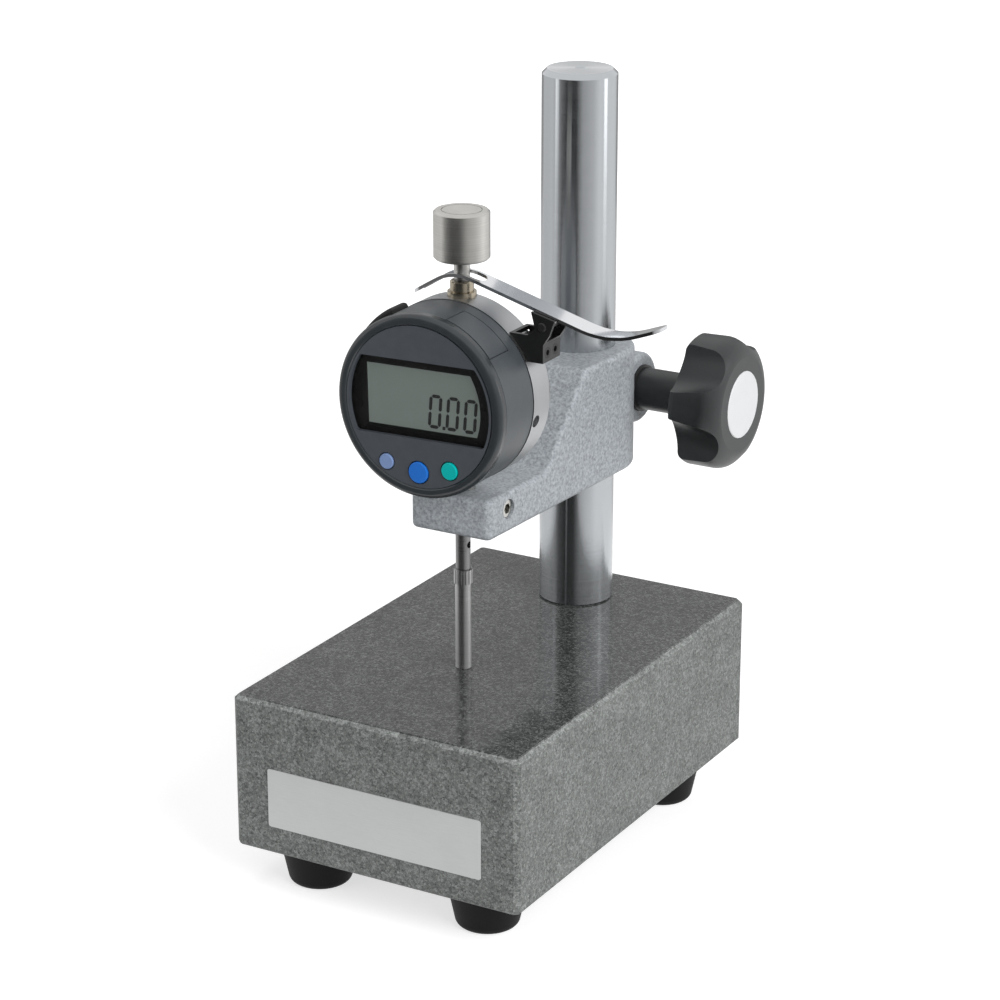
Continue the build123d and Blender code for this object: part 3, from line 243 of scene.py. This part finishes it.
# Plated, moulded and rubber surfaces: a fine grain and a broad mottle
satin = {"broadness": 22, "fineShade": 0.55, "broadShade": 0.45, "darkTo": 0.3, "lightFrom": 0.7,
         "lightMottle": 0.3, "fineRoughness": 0.16, "broadRoughness": 0.1}


def satinFinish(name, color, roughness, size=0.3, depth=0.006, metallic=0.0, mottle=0.15, specular=0.5):
    f = Finish(name)
    fine = f.grain(size, detail=3.0, roughness=0.6)
    broad = f.grain(size * satin["broadness"], detail=3.0)
    tone = f.ramp(fine * satin["fineShade"] + broad * satin["broadShade"], (satin["darkTo"], 1.0 - mottle),
                  (satin["lightFrom"], 1.0 + mottle * satin["lightMottle"]))
    rough = roughness + (fine - 0.5) * satin["fineRoughness"] + (broad - 0.5) * satin["broadRoughness"]
    return f.shade(color=f.mix(1.0, color, tone, "MULTIPLY"), metallic=metallic, roughness=rough,
                   normal=f.bump(fine, depth), specular=specular)


# Display window: clear, with a little dust
window = {"color": 0.04, "alpha": 0.08, "roughness": 0.06, "specular": 0.3, "dustSize": 1.4,
          "dustAlpha": 0.03, "dustRoughness": 0.05}


def clearFinish(name):
    f = Finish(name)
    dust = f.grain(window["dustSize"], detail=4.0)
    return f.shade(color=window["color"], specular=window["specular"],
                   roughness=window["roughness"] + dust * window["dustRoughness"],
                   alpha=window["alpha"] + dust * window["dustAlpha"])


spindleAxis = {"axis": "Z", "centre": (0.0, 0.0)}
columnAxis = {"axis": "Z", "centre": (0.0, column["centreY"])}
dialAxis = {"axis": "Y", "centre": (0.0, dial["centreZ"])}

# What differs from one metal, plating or moulding to the next; sizes and depths in millimetres
turnedParts = {  # each with the axis that it was turned or ground about
    "column_chrome": {"color": (0.52, 0.54, 0.56), "roughness": 0.18, **columnAxis, "size": 0.6,
                      "depth": 0.0006, "streak": 0.05, "brushed": 1.0},
    "weight_steel": {"color": (0.66, 0.65, 0.62), "roughness": 0.42, **spindleAxis, "size": 0.35,
                     "depth": 0.010, "streak": 0.3, "brushed": 0.6},
    "contact_steel": {"color": (0.66, 0.66, 0.66), "roughness": 0.4, **spindleAxis, "size": 0.3,
                      "depth": 0.001, "brushed": 1.0},
    "spindle_steel": {"color": (0.30, 0.30, 0.30), "roughness": 0.3, **spindleAxis, "size": 0.3,
                      "depth": 0.002},
    "bush_brass": {"color": (0.52, 0.46, 0.36), "roughness": 0.22, **spindleAxis, "size": 0.25,
                   "depth": 0.003},
    "case_metal": {"color": (0.47, 0.48, 0.49), "roughness": 0.4, **dialAxis, "size": 0.2, "streak": 0.12},
    "back_plate_metal": {"color": (0.50, 0.51, 0.52), "roughness": 0.36, **dialAxis, "size": 0.25,
                         "depth": 0.005},
}
platedParts = {  # steel and zinc with a bright skin
    "nickel_steel": {"color": (0.62, 0.61, 0.58), "roughness": 0.22},
    "zinc_steel": {"color": (0.60, 0.61, 0.62), "roughness": 0.34},
    "spring_steel": {"color": (0.35, 0.35, 0.36), "roughness": 0.35},
    "battery_steel": {"color": (0.65, 0.65, 0.65), "roughness": 0.25},
    "lever_chrome": {"color": (0.76, 0.77, 0.79), "roughness": 0.1, "size": 0.8, "depth": 0.003,
                     "mottle": 0.05},
}
mouldedParts = {  # rubber, plastic and glass, and steel that is blackened
    "foot_rubber": {"color": 0.005, "roughness": 0.6, "size": 0.5, "depth": 0.03, "mottle": 0.3,
                    "specular": 0.18},
    "cover_rubber": {"color": 0.014, "roughness": 0.55, "size": 0.35, "depth": 0.02, "mottle": 0.3,
                     "specular": 0.3},
    "black_steel": {"color": 0.016, "roughness": 0.4, "specular": 0.4},
    "bracket_black": {"color": 0.012, "roughness": 0.3, "depth": 0.01, "mottle": 0.3},
    "knob_plastic": {"color": (0.018, 0.020, 0.021), "roughness": 0.38, "size": 0.22, "depth": 0.012,
                     "mottle": 0.3, "specular": 0.6},
    "cap_plastic": {"color": (0.69, 0.70, 0.71), "roughness": 0.4, "size": 0.4, "mottle": 0.05},
    "drum_plastic": {"color": (0.053, 0.061, 0.068), "roughness": 0.4, "size": 0.16, "depth": 0.008,
                     "mottle": 0.2},
    "bezel_plastic": {"color": (0.030, 0.035, 0.039), "roughness": 0.2, "size": 0.16, "depth": 0.004},
    "face_plastic": {"color": (0.062, 0.070, 0.082), "roughness": 0.38, "size": 0.14, "depth": 0.005},
    "button_violet": {"color": (0.19, 0.275, 0.49), "roughness": 0.3, "mottle": 0.1, "specular": 0.3},
    "button_blue": {"color": (0.015, 0.15, 0.57), "roughness": 0.3, "mottle": 0.1, "specular": 0.3},
    "button_green": {"color": (0.0, 0.42, 0.40), "roughness": 0.3, "mottle": 0.1, "specular": 0.2},
    "display_grey": {"color": (0.222, 0.268, 0.245), "roughness": 0.45, "size": 0.5, "depth": 0.002,
                     "mottle": 0.04},
    "carrier_black": {"color": 0.008, "roughness": 0.4, "specular": 0.3},
    "sensor_plastic": {"color": 0.03, "roughness": 0.4},
    "board_green": {"color": (0.01, 0.12, 0.05), "roughness": 0.4},
    "scale_glass": {"color": (0.45, 0.5, 0.5), "roughness": 0.15},
}
finishes = {"granite": stoneFinish("granite"), "arm_paint": hammerFinish("arm_paint"),
            "window_clear": clearFinish("window_clear")}
for slot, values in turnedParts.items():
    finishes[slot] = turnedFinish(slot, **values)
for slot, values in platedParts.items():
    finishes[slot] = satinFinish(slot, metallic=1.0, **values)
for slot, values in mouldedParts.items():
    finishes[slot] = satinFinish(slot, **values)
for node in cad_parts.values():
    for place, old in enumerate(list(node.data.materials)):
        node.data.materials[place] = finishes[old.name.split(".")[0]]
print("finishes made:", len(finishes))


def linked(name, mesh, material):  # an object of the scene with one material
    made = bpy.data.objects.new(name, mesh)
    bpy.context.scene.collection.objects.link(made)
    mesh.materials.append(material)
    return made


def meshOf(shape, name):  # a mesh in metres from a shape drawn in millimetres
    bmesh.ops.recalc_face_normals(shape, faces=shape.faces)
    bmesh.ops.scale(shape, vec=(mm, mm, mm), verts=shape.verts)
    mesh = bpy.data.meshes.new(name)
    shape.to_mesh(mesh)
    shape.free()
    return mesh


# Rating plate on the stone's front face, left bare: a thin foil with brush marks along it
plate = {"left": -37.5, "right": 37.5, "bottom": -41.0, "top": -21.8, "corner": 0.8, "cornerSteps": 6,
         "thickness": 0.25, "edge": 0.08, "face": -53.8, "color": (0.57, 0.58, 0.58), "metallic": 0.3,
         "roughness": 0.38, "brushSize": 0.2, "brushStretch": (0.05, 1, 1), "brushRoughness": 0.2,
         "brushDepth": 0.002, "brushShade": 0.7, "cloudShade": 0.3, "cloudSize": 12.0, "dark": 0.9,
         "darkTo": 0.3, "lightFrom": 0.7}


def plateOutline():
    radius, steps = plate["corner"], plate["cornerSteps"]
    left, right = plate["left"] + radius, plate["right"] - radius
    bottom, top = plate["bottom"] + radius, plate["top"] - radius
    points = []
    for x, z, start in ((right, top, 0), (left, top, 90), (left, bottom, 180), (right, bottom, 270)):
        for step in range(steps + 1):
            angle = math.radians(start + 90 * step / steps)
            points.append((x + radius * math.cos(angle), z + radius * math.sin(angle)))
    return points


def plateMesh(name):
    front = plate["face"] - plate["thickness"]
    shape = bmesh.new()
    back = shape.faces.new([shape.verts.new((x, plate["face"], z)) for x, z in plateOutline()])
    grown = bmesh.ops.extrude_face_region(shape, geom=[back])
    moved = [v for v in grown["geom"] if isinstance(v, bmesh.types.BMVert)]
    bmesh.ops.translate(shape, verts=moved, vec=(0, -plate["thickness"], 0))
    rim = [e for e in shape.edges if all(abs(v.co.y - front) < plate["edge"] for v in e.verts)]
    bmesh.ops.bevel(shape, geom=rim, offset=plate["edge"], segments=2, affect="EDGES", profile=0.5)
    return meshOf(shape, name)


def plateFinish(name):
    f = Finish(name)
    brush = f.grain(plate["brushSize"], detail=3.0, roughness=0.6, stretch=plate["brushStretch"])
    cloud = f.grain(plate["cloudSize"])
    tone = f.ramp(brush * plate["brushShade"] + cloud * plate["cloudShade"],
                  (plate["darkTo"], plate["dark"]), (plate["lightFrom"], 1.0))
    rough = plate["roughness"] + (brush - 0.5) * plate["brushRoughness"]
    return f.shade(color=f.mix(1.0, plate["color"], tone, "MULTIPLY"), metallic=plate["metallic"],
                   roughness=rough, normal=f.bump(brush, plate["brushDepth"]))


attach(linked("rating_plate", plateMesh("rating_plate"), plateFinish("plate_foil")), "base")
print("plate made")

# Digits of the display, thin bars that stand just in front of its panel and turn with it
digits = {"text": "0.00", "lefts": (1.8, 7.8, 13.8), "bottom": -6.45, "height": 10.5, "width": 4.4,
          "stroke": 1.05, "gap": 0.14, "slant": 0.1, "pointX": 6.85, "pointSize": 1.0, "front": -23.45,
          "proud": 0.03, "tilt": 1.4, "color": 0.016, "roughness": 0.5}
segmentsOf = {"0": "abcdef", "1": "bc", "2": "abged", "3": "abgcd", "4": "fgbc", "5": "afgcd", "6": "afgedc",
              "7": "abc", "8": "abcdefg", "9": "abcdfg"}


def barOutline(x0, z0, x1, z1):  # a six-sided bar between two points
    half, gap = digits["stroke"] / 2, digits["gap"]
    along = Vector((x1 - x0, z1 - z0)).normalized()
    side = Vector((-along.y, along.x)) * half
    start, end = Vector((x0, z0)) + along * gap, Vector((x1, z1)) - along * gap
    return [start, start + along * half - side, end - along * half - side, end, end - along * half + side,
            start + along * half + side]


def digitBars(left, character):
    half = digits["stroke"] / 2
    x0, x1 = left + half, left + digits["width"] - half
    low, high = digits["bottom"] + half, digits["bottom"] + digits["height"] - half
    middle = (low + high) / 2
    ends = {"a": (x0, high, x1, high), "b": (x1, middle, x1, high), "c": (x1, low, x1, middle),
            "d": (x0, low, x1, low), "e": (x0, low, x0, middle), "f": (x0, middle, x0, high),
            "g": (x0, middle, x1, middle)}
    return [barOutline(*ends[letter]) for letter in segmentsOf[character]]


def digitMesh(name):
    bars = []
    for left, character in zip(digits["lefts"], digits["text"].replace(".", "")):
        bars += digitBars(left, character)
    x, z, size = digits["pointX"], digits["bottom"], digits["pointSize"]
    bars.append([(x, z), (x + size, z), (x + size, z + size), (x, z + size)])
    turn = Matrix.Rotation(-math.radians(digits["tilt"]), 4, "Y")
    place = Matrix.Translation((0, digits["front"], dial["centreZ"])) @ turn
    shape = bmesh.new()
    for bar in bars:
        leant = [(px + (pz - digits["bottom"]) * digits["slant"], pz) for px, pz in bar]
        front = [shape.verts.new(place @ Vector((px, -digits["proud"], pz))) for px, pz in leant]
        back = [shape.verts.new(place @ Vector((px, digits["proud"], pz))) for px, pz in leant]
        shape.faces.new(front)
        shape.faces.new(back[::-1])
        for corner in range(len(front)):
            after = (corner + 1) % len(front)
            shape.faces.new((front[corner], back[corner], back[after], front[after]))
    return meshOf(shape, name)


digitInk = satinFinish("digit_black", digits["color"], digits["roughness"])
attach(linked("display_digits", digitMesh("display_digits"), digitInk), "display")
print("display made")

# Floor, sky and lamps: floorZ, speckleSize and farFrom in millimetres, floorSize and lampsAim in metres
studio = {"floorZ": -64.0, "floorSize": 6.0, "floorColor": 0.55, "speckleSize": 30.0, "speckleShade": 0.98,
          "floorGlow": 0.66, "farGlow": 0.35, "farFrom": 300.0, "skyLight": 0.26, "lampsAim": (0, 0.02, 0.06)}


def stagePiece(name, corners, faces, material):  # a piece of the studio, its corners in metres
    mesh = bpy.data.meshes.new(name)
    mesh.from_pydata(corners, [], faces)
    made = linked(name, mesh, material)
    return made


def floorFinish(name):
    f = Finish(name)
    speckle = f.grain(studio["speckleSize"], detail=3.0)
    color = f.ramp(speckle, (0.0, studio["floorColor"] * studio["speckleShade"]), (1.0, studio["floorColor"]))
    x, y, z = f.where()
    distance = (x * x + y * y) ** 0.5
    # far is 0 up to farFrom, and 1 from three times farFrom on
    far = f.add("Math", {"operation": "SUBTRACT", "use_clamp": True},
                {0: distance * (0.5 / studio["farFrom"]), 1: 0.5})
    strength = f.seen() * (studio["floorGlow"] + far * studio["farGlow"])
    glow = f.add("Emission", {}, {0: asColor(1.0), 1: strength})
    return f.close(f.add("AddShader", {}, {0: f.add("BsdfDiffuse", {}, {0: color}), 1: glow}))


side, low = studio["floorSize"], studio["floorZ"] * mm
stagePiece("floor", [(-side, -side, low), (side, -side, low), (side, side, low), (-side, side, low)],
           [(0, 1, 2, 3)], floorFinish("floor_white"))

sky = Finish("studio", "worlds")
skyStrength = studio["skyLight"] + sky.seen() * (1.0 - studio["skyLight"])
sky.close(sky.add("Background", {}, {0: asColor(1.0), 1: skyStrength}), "World")
bpy.context.scene.world = sky.owner

# A screen round the column that only shiny surfaces see, with cards of light at angles in degrees from +X:
# a dark card and bright ones beside it, a dim one behind the column, and two narrow strips of strong light;
# its radius, bottom and top are in metres, backFrom and stripFrom in millimetres
screen = {"radius": 0.25, "bottom": -0.063, "top": 0.215, "steps": 120,
          "cards": ((-180, 0.75), (-150, 0.8), (-135, 0.65), (-116, 0.16), (-100, 0.02), (-71, 0.02),
                    (-53, 0.45), (-20, 0.7), (0, 1.0), (60, 1.0), (90, 0.7), (120, 0.6), (150, 0.7),
                    (180, 0.75)),
          "backFrom": 70.0, "backAngle": 120, "backHalf": 42, "backLight": 0.4,
          "strips": (-131, 21), "stripHalf": 6, "stripFrom": 100.0, "stripLight": 2.6}


def screenFinish(name):
    f = Finish(name)
    x, y, z = f.where()
    angle = f.add("Math", {"operation": "ARCTAN2"}, {0: y - column["centreY"], 1: x})
    stops = [(0.5 + degrees / 360, light) for degrees, light in screen["cards"]]
    light = f.ramp(0.5 + angle * (0.5 / math.pi), *stops)
    behind = abs(angle - math.radians(screen["backAngle"])) < math.radians(screen["backHalf"])
    high = behind * (z > screen["backFrom"])
    halfStrip = math.radians(screen["stripHalf"])
    left, right = (abs(angle - math.radians(place)) < halfStrip for place in screen["strips"])
    strong = (left + right) * (z > screen["stripFrom"])
    glow = f.add("Emission", {}, {0: f.mix(high, light, screen["backLight"]),
                                  1: 1 + strong * (screen["stripLight"] - 1)})
    return f.close(glow)


def screenSides():
    corners = []
    faces = []
    for step in range(screen["steps"]):
        angle = math.tau * step / screen["steps"]
        x = screen["radius"] * math.cos(angle)
        y = screen["radius"] * math.sin(angle) + column["centreY"] * mm
        corners += [(x, y, screen["bottom"]), (x, y, screen["top"])]
        after = (step + 1) % screen["steps"]
        faces.append((2 * step, 2 * step + 1, 2 * after + 1, 2 * after))
    return corners, faces


cards = stagePiece("reflection_screen", *screenSides(), screenFinish("screen_cards"))
for ray in ("camera", "diffuse", "transmission", "shadow", "volume_scatter"):
    setattr(cards, "visible_" + ray, False)

lamps = {  # place and width in metres, power in watts; shiny surfaces mirror the cards and not the lamps
    "key": ((1.12, -0.42, 0.72), 0.9, 19.0),
    "fill": ((-0.85, -1.15, 0.3), 1.1, 6.2),
    "top": ((-0.1, 0.3, 1.3), 0.9, 4.4),
    "back": ((-0.7, 1.2, 0.35), 1.0, 4.5),
}
for name, (place, width, power) in lamps.items():
    light = bpy.data.lights.new(name, "AREA")
    light.shape = "DISK"
    light.size = width
    light.energy = power
    lamp = bpy.data.objects.new(name, light)
    lamp.location = place
    lamp.visible_glossy = False
    lamp.rotation_euler = (Vector(studio["lampsAim"]) - Vector(place)).to_track_quat("-Z", "Y").to_euler()
    bpy.context.scene.collection.objects.link(lamp)

camera = {"lens": 114.07, "sensor": 36.0, "near": 0.01, "azimuth": 29.9, "elevation": 19.55,
          "place": (0.4624, -0.7815, 0.3772)}
eye = bpy.data.objects.new("camera", bpy.data.cameras.new("camera"))
eye.data.lens = camera["lens"]
eye.data.sensor_width = camera["sensor"]
eye.data.sensor_fit = "HORIZONTAL"
eye.data.clip_start = camera["near"]
eye.location = camera["place"]
eye.rotation_euler = (math.radians(90 - camera["elevation"]), 0.0, math.radians(camera["azimuth"]))
bpy.context.scene.collection.objects.link(eye)
bpy.context.scene.camera = eye
bpy.context.scene.view_settings.view_transform = "Standard"
print("studio made")
